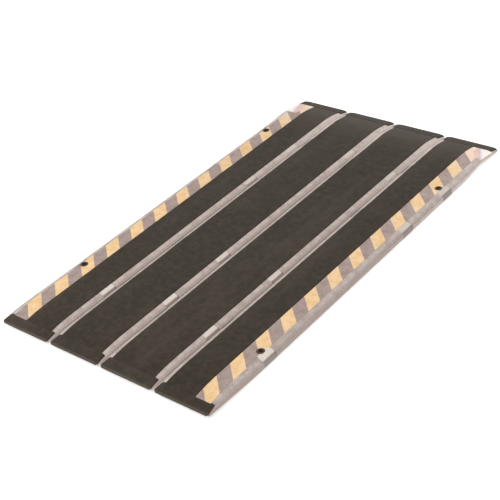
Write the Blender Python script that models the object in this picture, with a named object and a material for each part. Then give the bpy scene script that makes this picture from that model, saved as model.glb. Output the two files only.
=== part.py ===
# Portable wheelchair ramp: four long composite panels side by side, hinged with crossed webbing straps.
# Lengths are metres. +X runs across the panels, +Y from the ground end to the step end, +Z is up.
# Along a panel, a place is given as a distance from the ground end.

import math

import bmesh
import bpy
from mathutils import Vector

# Whole ramp
PANEL_COUNT = 4
PANEL_PITCH = 0.190
PANEL_GAP = 0.004
RAMP_LENGTH = 1.420
PANEL_THICKNESS = 0.028
FIT_GAP = 0.0003

# Long edges of a panel
CHAMFER_WIDTH = 0.017
CHAMFER_DROP = 0.0075
EDGE_ROUND = 0.004
BOTTOM_ROUND = 0.007
PARTING_DROP = 0.004
TIP_CORNER_RADIUS = 0.006

# Webbing straps and their pockets
STRAP_WIDTH = 0.050
STRAP_THICKNESS = 0.0015
STRAP_SIDE_CLEARANCE = 0.0005
STRAP_END_SPACING = 0.010
STRAP_FLOOR_CLEARANCE = 0.0003
STRAP_BEND_RADIUS = 0.003
STRAP_PAIR_PITCH = 0.054
FLOOR_UNDER_STRAP = 0.0012
NOTCH_DEPTH = 0.0070
WALL_BEHIND_NOTCH = 0.0035

# Strap stations: the outer pairs keep clear of the bevel and of the arch, and the single straps keep
# their distance from the nearer pair
STRAP_CLEAR_OF_TOE = 0.021
STRAP_CLEAR_OF_ARCH = 0.024
GROUND_SPACING = 0.2535
STEP_SPACING = 0.2445

# Ground end: the top curves down to a thin tip, and the underside curves up to it
NOSE_LENGTH = 0.130
NOSE_DROP = 0.0122
NOSE_POWER = 2.4
TOE_LENGTH = 0.200
TOE_LIFT = 0.0115
TOE_POWER = 1.55

# Step end: a tongue that curves down, behind a shallow arch that clears the step's edge
TONGUE_LENGTH = 0.110
TONGUE_DROP = 0.020
TONGUE_POWER = 1.5
ARCH_START = 0.198
ARCH_PEAK = 0.122
ARCH_HEIGHT = 0.012
LANDING_LENGTH = 0.025
LANDING_LIFT = 0.0020
ARCH_BLEND = 0.016
CORE_MIN_HEIGHT = 0.003
SECTION_SPACING = 0.0025

# Sheet pieces on the top
TREAD_THICKNESS = 0.0015
TREAD_EDGE_ROUND = 0.0006
STRIP_LENGTH = 0.036
STRIP_SIDE_INSET = 0.0075
STRIP_THICKNESS = 0.0015
LIP_THICKNESS = 0.0017
SHEET_END_GAP = 0.0004
TAPE_WIDTH = 0.050
TAPE_THICKNESS = 0.0004
TAPE_MARGIN = 0.0030
TAPE_TREAD_GAP = 0.0005

# Anchor holes through the outer panels, with their bushes
HOLE_INSET = 0.030
BUSH_BORE = 0.0130
BUSH_OUTER = 0.0165
BUSH_FLANGE = 0.0205
BUSH_FLANGE_HEIGHT = 0.0010
BUSH_SIDES = 16

# Fold axes: the play left between faces that meet when a joint is folded flat, and the size that the
# empties on the axes are drawn at
FOLD_PLAY = 0.0004
CARRIER_DISPLAY = 0.050

# Derived sizes
PANEL_WIDTH = PANEL_PITCH - PANEL_GAP
HALF_WIDTH = PANEL_WIDTH / 2
FLAT_HALF = HALF_WIDTH - CHAMFER_WIDTH
SHELL_LENGTH = RAMP_LENGTH - 2 * (LIP_THICKNESS + FIT_GAP)
SHELL_START = (RAMP_LENGTH - SHELL_LENGTH) / 2
SKIN = STRAP_THICKNESS + FIT_GAP + STRAP_FLOOR_CLEARANCE + FLOOR_UNDER_STRAP
EDGE_WALL = NOTCH_DEPTH + WALL_BEHIND_NOTCH
SIDE_TOP = PANEL_THICKNESS - CHAMFER_DROP
CHAMFER_SLOPE = CHAMFER_DROP / CHAMFER_WIDTH
TREAD_TOP = PANEL_THICKNESS + FIT_GAP + TREAD_THICKNESS
STRAP_TAIL = (PANEL_WIDTH - STRAP_END_SPACING) / 2
TOP_POCKET = STRAP_THICKNESS + FIT_GAP
UNDER_POCKET = STRAP_FLOOR_CLEARANCE + STRAP_THICKNESS + FIT_GAP
STRAP_TOP_MIDDLE = PANEL_THICKNESS - STRAP_THICKNESS / 2
STRAP_UNDER_MIDDLE = STRAP_FLOOR_CLEARANCE + STRAP_THICKNESS / 2
POCKET_MARGIN = 0.001
PAIR_REACH = (STRAP_PAIR_PITCH + STRAP_WIDTH) / 2
STATION_A = TOE_LENGTH + STRAP_CLEAR_OF_TOE + PAIR_REACH
STATION_D = RAMP_LENGTH - ARCH_START - ARCH_BLEND / 2 - STRAP_CLEAR_OF_ARCH - PAIR_REACH
STATION_B = STATION_A + GROUND_SPACING
STATION_C = STATION_D - STEP_SPACING

# Fold axes, as (distance from the middle of the gap, height). Outer joints bring the tops together,
# and the middle joint brings the undersides together.
FOLD_UP_HEIGHT = SIDE_TOP
FOLD_UP_REACH = TREAD_TOP - FOLD_UP_HEIGHT + FOLD_PLAY
FOLD_DOWN_HEIGHT = BOTTOM_ROUND + PANEL_GAP / 4
FOLD_DOWN_REACH = FOLD_DOWN_HEIGHT + FOLD_PLAY

STATIONS = {
    "a0": STATION_A - STRAP_PAIR_PITCH / 2,
    "a1": STATION_A + STRAP_PAIR_PITCH / 2,
    "b": STATION_B,
    "c": STATION_C,
    "d0": STATION_D - STRAP_PAIR_PITCH / 2,
    "d1": STATION_D + STRAP_PAIR_PITCH / 2,
}

# For each joint, the stations whose strap lies over the left panel and under the right one, then the
# stations whose strap lies the other way.
JOINT_STRAPS = {
    1: (("a0", "c", "d0"), ("a1", "b", "d1")),
    2: (("a1", "b", "d1"), ("a0", "d0")),
    3: (("a0", "b", "d0"), ("a1", "c", "d1")),
}

# Stations whose strap turns round the outer edge of the first and the last panel, and the two of
# each that carry an anchor hole.
EDGE_WRAPS = {1: ("a1", "c", "d1"), PANEL_COUNT: ("a0", "c", "d0")}
HOLE_STATIONS = {1: ("a1", "d1"), PANEL_COUNT: ("a0", "d0")}

MATERIALS = {
    "grey_composite": ((0.50, 0.46, 0.43, 1.0), 0.55, 0.0),
    "grey_underside": ((0.42, 0.39, 0.37, 1.0), 0.65, 0.0),
    "foam": ((0.80, 0.74, 0.55, 1.0), 0.90, 0.0),
    "black_tread": ((0.055, 0.050, 0.043, 1.0), 0.85, 0.0),
    "black_rubber": ((0.045, 0.043, 0.034, 1.0), 0.80, 0.0),
    "hazard_tape": ((0.90, 0.67, 0.25, 1.0), 0.45, 0.0),
    "webbing": ((0.70, 0.65, 0.60, 1.0), 0.85, 0.0),
    "black_plastic": ((0.02, 0.018, 0.016, 1.0), 0.45, 0.0),
}


def clear_scene():
    for thing in list(bpy.data.objects):
        bpy.data.objects.remove(thing, do_unlink=True)


def material(name):
    made = bpy.data.materials.get(name)
    if made:
        return made
    color, roughness, metallic = MATERIALS[name]
    made = bpy.data.materials.new(name)
    made.use_nodes = True
    shader = made.node_tree.nodes["Principled BSDF"]
    shader.inputs["Base Color"].default_value = color
    shader.inputs["Roughness"].default_value = roughness
    shader.inputs["Metallic"].default_value = metallic
    made.diffuse_color = color
    return made


def panel_center(panel):
    return (panel - (PANEL_COUNT + 1) / 2) * PANEL_PITCH


def joint_center(joint):
    return (joint - PANEL_COUNT / 2) * PANEL_PITCH


def along(distance):
    return distance - RAMP_LENGTH / 2


# A bend from flat to a slope of 1 at zero, rounded over the given length
def soft_bend(distance, blend):
    if distance <= -blend / 2:
        return 0.0
    if distance >= blend / 2:
        return distance
    return (distance + blend / 2) ** 2 / (2 * blend)


# Height of the deck's top, and of the underside, at a distance from the ground end
def top_height(distance):
    reach = max(0.0, NOSE_LENGTH - distance) / NOSE_LENGTH
    past = max(0.0, distance - (RAMP_LENGTH - TONGUE_LENGTH)) / TONGUE_LENGTH
    return PANEL_THICKNESS - NOSE_DROP * reach ** NOSE_POWER - TONGUE_DROP * past ** TONGUE_POWER


def under_height(distance):
    toe = TOE_LIFT * (max(0.0, TOE_LENGTH - distance) / TOE_LENGTH) ** TOE_POWER
    rise = ARCH_HEIGHT / (ARCH_START - ARCH_PEAK)
    fall = (ARCH_HEIGHT - LANDING_LIFT) / (ARCH_PEAK - LANDING_LENGTH)
    arch = rise * soft_bend(distance - (RAMP_LENGTH - ARCH_START), ARCH_BLEND)
    arch -= (rise + fall) * soft_bend(distance - (RAMP_LENGTH - ARCH_PEAK), ARCH_BLEND)
    arch += fall * soft_bend(distance - (RAMP_LENGTH - LANDING_LENGTH), ARCH_BLEND)
    return toe + arch


# Half the panel's width, drawn in round the plan corners of the tips
def half_width(distance):
    tip = min(distance - SHELL_START, RAMP_LENGTH - SHELL_START - distance)
    short = TIP_CORNER_RADIUS - tip
    if short <= 0:
        return HALF_WIDTH
    return HALF_WIDTH - TIP_CORNER_RADIUS + math.sqrt(max(0.0, TIP_CORNER_RADIUS ** 2 - short ** 2))


# The sizes of a panel's cross-section at a distance from the ground end
class Section:
    def __init__(self, distance):
        self.top = top_height(distance)
        self.under = under_height(distance)
        self.width = half_width(distance)
        height = self.top - self.under
        share = min(1.0, height / PANEL_THICKNESS)
        self.skin = SKIN * share
        self.side_top = self.top - CHAMFER_DROP * share
        self.parting = self.side_top - PARTING_DROP * share
        self.edge_round = EDGE_ROUND * share
        self.bottom_round = BOTTOM_ROUND * share
        self.flat = self.width - CHAMFER_WIDTH
        self.wall = self.width - EDGE_WALL
        self.plug = self.wall - FIT_GAP
        self.plug_top = self.chamfer(self.plug) - self.skin

    def chamfer(self, x):
        out = max(0.0, abs(x) - self.flat)
        return self.top - (self.top - self.side_top) * out / CHAMFER_WIDTH


# Points of a corner rounded to a radius, as steps + 1 points on an arc
def rounded_corner(before, corner, after, radius, steps):
    one = (before - corner).normalized()
    two = (after - corner).normalized()
    half = one.angle(two) / 2
    reach = radius / math.tan(half)
    middle = corner + (one + two).normalized() * (radius / math.sin(half))
    start = corner + one * reach - middle
    finish = corner + two * reach - middle
    sweep = start.angle(finish)
    points = []
    for step in range(steps + 1):
        share = step / steps
        low = math.sin((1 - share) * sweep) / math.sin(sweep)
        high = math.sin(share * sweep) / math.sin(sweep)
        points.append(middle + start * low + finish * high)
    return points


# A path of straight runs whose corners are rounded. Each entry is (x, z, radius, steps).
def rounded_path(entries):
    corners = [Vector((x, z)) for x, z, _, _ in entries]
    path = []
    for at, (_, _, radius, steps) in enumerate(entries):
        if radius <= 0:
            path.append(corners[at])
        else:
            path += rounded_corner(corners[at - 1], corners[at], corners[at + 1], radius, steps)
    return path


# The path moved sideways, to its left for a positive distance, keeping its runs parallel
def offset_path(path, distance):
    moved = []
    for at, point in enumerate(path):
        back = (point - path[at - 1]).normalized() if at > 0 else None
        ahead = (path[at + 1] - point).normalized() if at < len(path) - 1 else None
        back = back or ahead
        ahead = ahead or back
        middle = (back + ahead).normalized()
        normal = Vector((-middle.y, middle.x))
        moved.append(point + normal * (distance / max(0.2, normal.dot(Vector((-back.y, back.x))))))
    return moved


def new_object(name, mesh_data, slot):
    mesh = bpy.data.meshes.new(name)
    bmesh.ops.recalc_face_normals(mesh_data, faces=mesh_data.faces)
    mesh_data.to_mesh(mesh)
    mesh_data.free()
    made = bpy.data.objects.new(name, mesh)
    bpy.context.collection.objects.link(made)
    if slot:
        mesh.materials.append(material(slot))
    return made


def close_ends(data, first, last):
    caps = [data.faces.new(first), data.faces.new(last)]
    for cap in caps:
        cap.normal_update()
    bmesh.ops.triangulate(data, faces=caps)


# A closed solid through rings of (x, z) points at distances along the ramp
def loft(name, rings, slot):
    data = bmesh.new()
    loops = []
    for distance, ring in rings:
        loops.append([data.verts.new((x, along(distance), z)) for x, z in ring])
    count = len(loops[0])
    for first, second in zip(loops, loops[1:]):
        for at in range(count):
            after = (at + 1) % count
            data.faces.new((first[at], first[after], second[after], second[at]))
    close_ends(data, loops[0], loops[-1])
    return new_object(name, data, slot)


# Prisms of constant section along the ramp, from (outline, start, end) entries
def prisms(name, entries, slot):
    data = bmesh.new()
    for outline, start, end in entries:
        near = [data.verts.new((x, along(start), z)) for x, z in outline]
        far = [data.verts.new((x, along(end), z)) for x, z in outline]
        count = len(outline)
        for at in range(count):
            after = (at + 1) % count
            data.faces.new((near[at], near[after], far[after], far[at]))
        close_ends(data, near, far)
    return new_object(name, data, slot)


def rods(name, centers, radius, low, high):
    data = bmesh.new()
    for x, distance in centers:
        made = bmesh.ops.create_cone(
            data, cap_ends=True, segments=BUSH_SIDES, radius1=radius, radius2=radius, depth=high - low
        )
        bmesh.ops.translate(data, verts=made["verts"], vec=(x, along(distance), (low + high) / 2))
    return new_object(name, data, None)


def cut(target, cutter):
    cutter.hide_render = True
    cutter.display_type = "WIRE"
    modifier = target.modifiers.new(cutter.name, "BOOLEAN")
    modifier.operation = "DIFFERENCE"
    modifier.solver = "EXACT"
    modifier.object = cutter


# Distances of the cross-sections, closer together where the outline bends
def section_distances():
    tips = [SHELL_START + TIP_CORNER_RADIUS * share for share in (0.0, 0.45, 1.0)] + [STRIP_LENGTH]
    ground = tips + [NOSE_LENGTH * share for share in (0.50, 0.72, 1.0)] + [0.82 * TOE_LENGTH, TOE_LENGTH]
    step = [RAMP_LENGTH - back for back in tips]
    step += [RAMP_LENGTH - TONGUE_LENGTH * share for share in (1.0, 0.82, 0.60)]
    step.append(RAMP_LENGTH - LANDING_LENGTH + ARCH_BLEND / 2)
    for place in (ARCH_START, ARCH_PEAK):
        step += [RAMP_LENGTH - place + ARCH_BLEND * share for share in (-0.5, 0.5)]
    return tidy_distances(ground + step)


# Distances in order, without near repeats
def tidy_distances(distances):
    kept = []
    for distance in sorted(distances):
        if not kept or distance - kept[-1] > SECTION_SPACING:
            kept.append(distance)
    return kept


def distances_between(low, high):
    inner = [d for d in section_distances() if low + SECTION_SPACING < d < high - SECTION_SPACING]
    return [low] + inner + [high]


def shift(ring, center):
    return [(center + x, z) for x, z in ring]


# The deck: the upper skin with both chamfers, and a plug that fits between the tray's walls
def deck_ring(cut_at):
    w = cut_at.width
    outer = rounded_path([
        (-w, cut_at.parting, 0, 0),
        (-w, cut_at.side_top, cut_at.edge_round, 2),
        (-cut_at.flat, cut_at.top, 0, 0),
        (cut_at.flat, cut_at.top, 0, 0),
        (w, cut_at.side_top, cut_at.edge_round, 2),
        (w, cut_at.parting, 0, 0),
    ])
    flat_under = cut_at.top - cut_at.skin
    inner = [
        (cut_at.plug, cut_at.parting),
        (cut_at.plug, cut_at.plug_top),
        (cut_at.flat, flat_under),
        (-cut_at.flat, flat_under),
        (-cut_at.plug, cut_at.plug_top),
        (-cut_at.plug, cut_at.parting),
    ]
    return [(p.x, p.y) for p in outer] + inner


# The tray: the underside and both long walls, up to the parting line
def tray_ring(cut_at):
    w = cut_at.width
    rim = cut_at.parting - FIT_GAP
    outer = rounded_path([
        (-w, rim, 0, 0),
        (-w, cut_at.under, cut_at.bottom_round, 2),
        (w, cut_at.under, cut_at.bottom_round, 2),
        (w, rim, 0, 0),
    ])
    floor = cut_at.under + cut_at.skin
    inner = [(cut_at.wall, rim), (cut_at.wall, floor), (-cut_at.wall, floor), (-cut_at.wall, rim)]
    return [(p.x, p.y) for p in outer] + inner


# The foam core, a fit gap inside the deck and the tray
def core_ring(cut_at):
    low = cut_at.under + cut_at.skin + FIT_GAP
    side = cut_at.plug - FIT_GAP
    edge = cut_at.chamfer(side) - cut_at.skin - FIT_GAP
    flat = cut_at.top - cut_at.skin - FIT_GAP
    return [
        (-side, low), (side, low), (side, edge), (cut_at.flat, flat), (-cut_at.flat, flat), (-side, edge),
    ]


def core_height(distance):
    ring = core_ring(Section(distance))
    return ring[2][1] - ring[1][1]


def core_distances():
    return [distance for distance in section_distances() if core_height(distance) > CORE_MIN_HEIGHT]


# A sheet of the given thickness that lies on the deck between two local x places
def sheet_ring(cut_at, left, right, thickness, soft):
    low = cut_at.top + FIT_GAP
    high = low + thickness
    return [
        (left, low), (right, low), (right, high - soft), (right - soft, high),
        (left + soft, high), (left, high - soft),
    ]


# An end strip lies over the flat and part of the way down both chamfers
def strip_ring(cut_at, low_gap, low_limit):
    rise = FIT_GAP + STRIP_THICKNESS
    w = cut_at.width - STRIP_SIDE_INSET
    edge = cut_at.chamfer(w)
    under = [(-w, edge), (-cut_at.flat, cut_at.top), (cut_at.flat, cut_at.top), (w, edge)]
    if low_limit is None:
        lower = [(x, z + low_gap) for x, z in under]
    else:
        lower = [(x, low_limit) for x, _ in under]
    upper = [(x, z + rise) for x, z in reversed(under)]
    return lower + upper


# In joint coordinates (x from the middle of the gap), the path of a strap that lies over the left
# panel, crosses the gap and lies under the right panel
def crossing_path():
    side = PANEL_GAP / 2
    shoulder = -side - CHAMFER_WIDTH
    bend_x = -side - NOTCH_DEPTH + STRAP_THICKNESS
    bend_z = STRAP_TOP_MIDDLE - CHAMFER_SLOPE * (bend_x - shoulder)
    turn = BOTTOM_ROUND - STRAP_UNDER_MIDDLE
    center_x = side + BOTTOM_ROUND
    across, down = center_x - bend_x, bend_z - BOTTOM_ROUND
    angle = math.atan2(down, across) + math.asin(turn / math.hypot(across, down))
    foot_x = bend_x + (bend_z - STRAP_UNDER_MIDDLE) / math.tan(angle)
    return rounded_path([
        (-side - STRAP_TAIL, STRAP_TOP_MIDDLE, 0, 0),
        (shoulder, STRAP_TOP_MIDDLE, STRAP_BEND_RADIUS, 1),
        (bend_x, bend_z, STRAP_BEND_RADIUS, 4),
        (foot_x, STRAP_UNDER_MIDDLE, turn, 5),
        (side + STRAP_TAIL, STRAP_UNDER_MIDDLE, 0, 0),
    ])


# In edge coordinates (x outwards from the panel's long side), a strap that turns round an outer edge
def wrap_path():
    drop_x = -NOTCH_DEPTH + FIT_GAP + STRAP_THICKNESS / 2
    bend_z = STRAP_TOP_MIDDLE - CHAMFER_SLOPE * (drop_x + CHAMFER_WIDTH)
    return rounded_path([
        (-STRAP_TAIL, STRAP_TOP_MIDDLE, 0, 0),
        (-CHAMFER_WIDTH, STRAP_TOP_MIDDLE, STRAP_BEND_RADIUS, 1),
        (drop_x, bend_z, STRAP_THICKNESS, 4),
        (drop_x, STRAP_UNDER_MIDDLE, STRAP_BEND_RADIUS, 4),
        (-STRAP_TAIL, STRAP_UNDER_MIDDLE, 0, 0),
    ])


def band(path, half):
    upper = offset_path(path, half)
    lower = offset_path(path, -half)
    return [(p.x, p.y) for p in upper] + [(p.x, p.y) for p in reversed(lower)]


# Pocket outlines in edge coordinates. The over pocket has a notch through the side's whole height.
def over_pocket():
    inner = -STRAP_TAIL - POCKET_MARGIN
    outer = PANEL_GAP / 2 * 0.8
    floor = PANEL_THICKNESS - TOP_POCKET
    notch_top = floor - CHAMFER_SLOPE * (CHAMFER_WIDTH - NOTCH_DEPTH)
    above, below = PANEL_THICKNESS + POCKET_MARGIN, -POCKET_MARGIN
    return [
        (inner, above), (inner, floor), (-CHAMFER_WIDTH, floor), (-NOTCH_DEPTH, notch_top),
        (-NOTCH_DEPTH, below), (outer, below), (outer, above),
    ]


# The wrap pocket lies a fit gap inside the strap that turns round the edge
def wrap_pocket():
    inner = -STRAP_TAIL - POCKET_MARGIN
    wall = offset_path(wrap_path(), -STRAP_THICKNESS / 2 - FIT_GAP)
    outer = PANEL_GAP / 2 * 0.8
    above, below = PANEL_THICKNESS + POCKET_MARGIN, -POCKET_MARGIN
    run = [(p.x, p.y) for p in wall[1:-1]]
    return (
        [(inner, above), (inner, wall[0].y)] + run
        + [(inner, wall[-1].y), (inner, below), (outer, below), (outer, above)]
    )


# The under pocket follows the strap's own path, a fit gap away, and opens downwards and outwards
def under_pocket():
    side = PANEL_GAP / 2
    wall = offset_path(crossing_path(), STRAP_THICKNESS / 2 + FIT_GAP)
    start = next(at for at, point in enumerate(wall) if point.y < BOTTOM_ROUND)
    above, below = wall[start - 1], wall[start]
    outer = side * 0.2
    share = (below.x - outer) / (below.x - above.x)
    rim = below + (above - below) * share
    inner = side + STRAP_TAIL + POCKET_MARGIN
    run = [(rim.x, rim.y)] + [(p.x, p.y) for p in wall[start:-1]]
    run += [(inner, UNDER_POCKET), (inner, -POCKET_MARGIN), (outer, -POCKET_MARGIN)]
    return [(side - x, z) for x, z in run]


# Outlines for each panel's pockets, as (outline in world x, station). side is -1 for its left edge.
def panel_pockets(panel):
    found = []
    for side, joint in ((1, panel), (-1, panel - 1)):
        edge = panel_center(panel) + side * HALF_WIDTH
        if joint in JOINT_STRAPS:
            left_over, right_over = JOINT_STRAPS[joint]
            over, under = (left_over, right_over) if side > 0 else (right_over, left_over)
            found += [(over_pocket(), edge, side, station) for station in over]
            found += [(under_pocket(), edge, side, station) for station in under]
        elif panel in EDGE_WRAPS:
            found += [(wrap_pocket(), edge, side, station) for station in EDGE_WRAPS[panel]]
    return [([(edge + side * x, z) for x, z in outline], station) for outline, edge, side, station in found]


def strap_span(station, margin):
    middle = STATIONS[station]
    reach = STRAP_WIDTH / 2 + margin
    return middle - reach, middle + reach


def pocket_cutter(panel):
    entries = []
    for outline, station in panel_pockets(panel):
        entries.append((outline, *strap_span(station, STRAP_SIDE_CLEARANCE)))
    return prisms(f"cut_pockets_{panel}", entries, None)


def hole_centers(panel):
    side = 1 if panel == PANEL_COUNT else -1
    x = panel_center(panel) + side * (HALF_WIDTH - HOLE_INSET)
    return [(x, STATIONS[station]) for station in HOLE_STATIONS[panel]]


def hole_cutter(panel):
    radius = BUSH_OUTER / 2 + FIT_GAP
    return rods(f"cut_holes_{panel}", hole_centers(panel), radius, -0.01, PANEL_THICKNESS + 0.01)


# The tape lies along the outer edge of an outer panel, and the tread fills the rest of the flat
def tape_limits(panel):
    outer = FLAT_HALF - TAPE_MARGIN
    inner = outer - TAPE_WIDTH
    return (inner, outer) if panel == PANEL_COUNT else (-outer, -inner)


def tread_limits(panel):
    low, high = -FLAT_HALF, FLAT_HALF
    if panel == PANEL_COUNT:
        high = tape_limits(panel)[0] - TAPE_TREAD_GAP
    if panel == 1:
        low = tape_limits(panel)[1] + TAPE_TREAD_GAP
    return low, high


def lofted(name, ring_of, distances, center, slot):
    return loft(name, [(d, shift(ring_of(Section(d)), center)) for d in distances], slot)


def build_sheet(name, panel, limits, thickness, soft, slot):
    start = STRIP_LENGTH + SHEET_END_GAP
    distances = distances_between(start, RAMP_LENGTH - start)

    def ring_of(cut_at):
        return sheet_ring(cut_at, *limits, thickness, soft)

    return lofted(name, ring_of, distances, panel_center(panel), slot)


# The strip's rings run from its front lip, which covers the tip's face, to its inner end
def build_strip(name, panel, ground_end):
    def place(back):
        return back if ground_end else RAMP_LENGTH - back

    corner = SHELL_START + TIP_CORNER_RADIUS
    tip = Section(place(SHELL_START))
    backs = [SHELL_START, SHELL_START + 0.15 * TIP_CORNER_RADIUS, SHELL_START + 0.5 * TIP_CORNER_RADIUS]
    backs += [corner, 0.6 * STRIP_LENGTH, STRIP_LENGTH]
    rings = [(place(0.0), strip_ring(tip, FIT_GAP, tip.under))]
    rings.append((place(LIP_THICKNESS), strip_ring(tip, FIT_GAP, tip.under)))
    rings.append((place(LIP_THICKNESS), strip_ring(tip, FIT_GAP, None)))
    rings += [(place(back), strip_ring(Section(place(back)), FIT_GAP, None)) for back in backs]
    center = panel_center(panel)
    return loft(name, [(d, shift(ring, center)) for d, ring in rings], "black_rubber")


# A flanged sleeve turned round the hole's axis
def build_bush(name, center):
    x, distance = center
    bore, body, flange = BUSH_BORE / 2, BUSH_OUTER / 2, BUSH_FLANGE / 2
    seat = PANEL_THICKNESS + 2 * FIT_GAP + TAPE_THICKNESS
    top = seat + BUSH_FLANGE_HEIGHT
    low = STRAP_FLOOR_CLEARANCE
    edge = BUSH_FLANGE_HEIGHT / 2
    profile = [
        (bore, low), (body, low), (body, seat), (flange, seat), (flange, top - edge),
        (flange - edge, top), (bore + edge, top), (bore, top - edge),
    ]
    data = bmesh.new()
    loops = []
    for turn in range(BUSH_SIDES):
        angle = 2 * math.pi * turn / BUSH_SIDES
        ray = (math.cos(angle), math.sin(angle))
        loops.append([data.verts.new((x + r * ray[0], along(distance) + r * ray[1], z)) for r, z in profile])
    for first, second in zip(loops, loops[1:] + loops[:1]):
        for at in range(len(profile)):
            after = (at + 1) % len(profile)
            data.faces.new((first[at], first[after], second[after], second[at]))
    made = new_object(name, data, "black_plastic")
    made.data.shade_smooth()
    made.data.set_sharp_from_angle(angle=math.radians(40))
    return made


def build_panel(panel):
    center = panel_center(panel)
    distances = section_distances()
    deck = lofted(f"panel_{panel}_deck", deck_ring, distances, center, "grey_composite")
    tray = lofted(f"panel_{panel}_tray", tray_ring, distances, center, "grey_underside")
    core = lofted(f"panel_{panel}_core", core_ring, core_distances(), center, "foam")
    tread = build_sheet(
        f"panel_{panel}_tread", panel, tread_limits(panel), TREAD_THICKNESS, TREAD_EDGE_ROUND, "black_tread"
    )
    pieces = [deck, tray, core, tread]
    pockets = pocket_cutter(panel)
    cut(deck, pockets)
    cut(tray, pockets)
    pieces.append(build_strip(f"panel_{panel}_ground_strip", panel, True))
    pieces.append(build_strip(f"panel_{panel}_step_strip", panel, False))
    if panel in HOLE_STATIONS:
        pieces += build_outer_edge(panel, [deck, tray, core])
    return pieces


# An outer panel's tape, edge straps and anchor bushes, with the holes cut through all they pass
def build_outer_edge(panel, drilled):
    tape = build_sheet(
        f"panel_{panel}_edge_tape", panel, tape_limits(panel), TAPE_THICKNESS,
        TAPE_THICKNESS / 4, "hazard_tape"
    )
    side = 1 if panel == PANEL_COUNT else -1
    edge = panel_center(panel) + side * HALF_WIDTH
    outline = [(edge + side * x, z) for x, z in band(wrap_path(), STRAP_THICKNESS / 2)]
    holes = hole_cutter(panel)
    wraps = []
    for station in EDGE_WRAPS[panel]:
        wrap = prisms(f"panel_{panel}_edge_strap_{station}", [(outline, *strap_span(station, 0))], "webbing")
        if station in HOLE_STATIONS[panel]:
            drilled = drilled + [wrap]
        wraps.append(wrap)
    for piece in drilled + [tape]:
        cut(piece, holes)
    bushes = []
    for station, center in zip(HOLE_STATIONS[panel], hole_centers(panel)):
        bushes.append(build_bush(f"panel_{panel}_anchor_bush_{station}", center))
    return [tape] + wraps + bushes


def build_joint_straps(joint):
    middle = joint_center(joint)
    outline = band(crossing_path(), STRAP_THICKNESS / 2)
    straps = []
    for side, stations in zip((1, -1), JOINT_STRAPS[joint]):
        for station in stations:
            placed = [(middle + side * x, z) for x, z in outline]
            span = strap_span(station, 0)
            straps.append(prisms(f"joint_{joint}_strap_{station}", [(placed, *span)], "webbing"))
    return straps


# An empty on a fold axis carries the pieces that turn about it
def carrier(name, parent, place):
    made = bpy.data.objects.new(name, None)
    made.empty_display_size = CARRIER_DISPLAY
    bpy.context.collection.objects.link(made)
    made.parent = parent
    origin = Vector(parent["place"]) if parent else Vector((0, 0, 0))
    made.location = Vector(place) - origin
    made["place"] = tuple(place)
    return made


def carry(pieces, holder):
    place = Vector(holder["place"])
    for piece in pieces:
        for vertex in piece.data.vertices:
            vertex.co -= place
        piece.parent = holder


def main():
    clear_scene()
    up, down = (FOLD_UP_REACH, FOLD_UP_HEIGHT), (FOLD_DOWN_REACH, FOLD_DOWN_HEIGHT)
    panel_2 = carrier("panel_2", None, (0, 0, 0))
    link_1 = carrier("joint_1_link", panel_2, (joint_center(1) + up[0], 0, up[1]))
    panel_1 = carrier("panel_1", link_1, (joint_center(1) - up[0], 0, up[1]))
    link_2 = carrier("joint_2_link", panel_2, (joint_center(2) - down[0], 0, down[1]))
    panel_3 = carrier("panel_3", link_2, (joint_center(2) + down[0], 0, down[1]))
    link_3 = carrier("joint_3_link", panel_3, (joint_center(3) - up[0], 0, up[1]))
    panel_4 = carrier("panel_4", link_3, (joint_center(3) + up[0], 0, up[1]))
    for panel, holder in enumerate((panel_1, panel_2, panel_3, panel_4), start=1):
        carry(build_panel(panel), holder)
    for joint, holder in enumerate((link_1, link_2, link_3), start=1):
        carry(build_joint_straps(joint), holder)


main()
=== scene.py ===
# Portable wheelchair ramp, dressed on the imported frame. Lengths are metres: +X runs across the panels,
# +Y from the ground end to the step end, and +Z up. A place along a panel is its distance from the
# ground end.

import math

import bmesh
import bpy
from mathutils import Matrix, Vector


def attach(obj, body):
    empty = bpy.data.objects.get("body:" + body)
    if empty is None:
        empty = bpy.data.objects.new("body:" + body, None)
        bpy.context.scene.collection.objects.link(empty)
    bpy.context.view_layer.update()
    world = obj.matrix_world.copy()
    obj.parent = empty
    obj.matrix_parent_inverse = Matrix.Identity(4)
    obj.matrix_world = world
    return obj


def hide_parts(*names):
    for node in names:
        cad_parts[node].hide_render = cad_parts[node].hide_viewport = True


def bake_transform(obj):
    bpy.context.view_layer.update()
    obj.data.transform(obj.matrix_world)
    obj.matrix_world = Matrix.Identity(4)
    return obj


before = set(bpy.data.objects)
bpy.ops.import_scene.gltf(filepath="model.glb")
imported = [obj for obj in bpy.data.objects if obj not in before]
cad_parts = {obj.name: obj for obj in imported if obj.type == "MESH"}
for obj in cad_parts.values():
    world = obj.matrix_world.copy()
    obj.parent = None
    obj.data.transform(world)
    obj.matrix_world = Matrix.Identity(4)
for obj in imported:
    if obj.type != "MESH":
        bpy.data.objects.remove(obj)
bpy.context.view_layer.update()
print("frame loaded with", len(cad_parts), "CAD nodes")

ramp = {
    "panels": 4,
    "pitch": 0.19,
    "gap": 0.004,
    "length": 1.42,
    "thickness": 0.028,
    "fitGap": 0.0003,
    "straps": {  # per gap: straps over its left panel, then straps over its right panel
        1: (("a0", "c", "d0"), ("a1", "b", "d1")),
        2: (("a1", "b", "d1"), ("a0", "d0")),
        3: (("a0", "b", "d0"), ("a1", "c", "d1")),
    },
    "edgeStraps": {1: ("a1", "c", "d1"), 4: ("a0", "c", "d0")},
    "holes": {1: ("a1", "d1"), 4: ("a0", "d0")},
}
# The middles of the straps and anchor holes, by their distance along the ramp
stations = {"a0": 0.246, "a1": 0.3, "b": 0.5265, "c": 0.8935, "d0": 1.111, "d1": 1.165}

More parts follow.
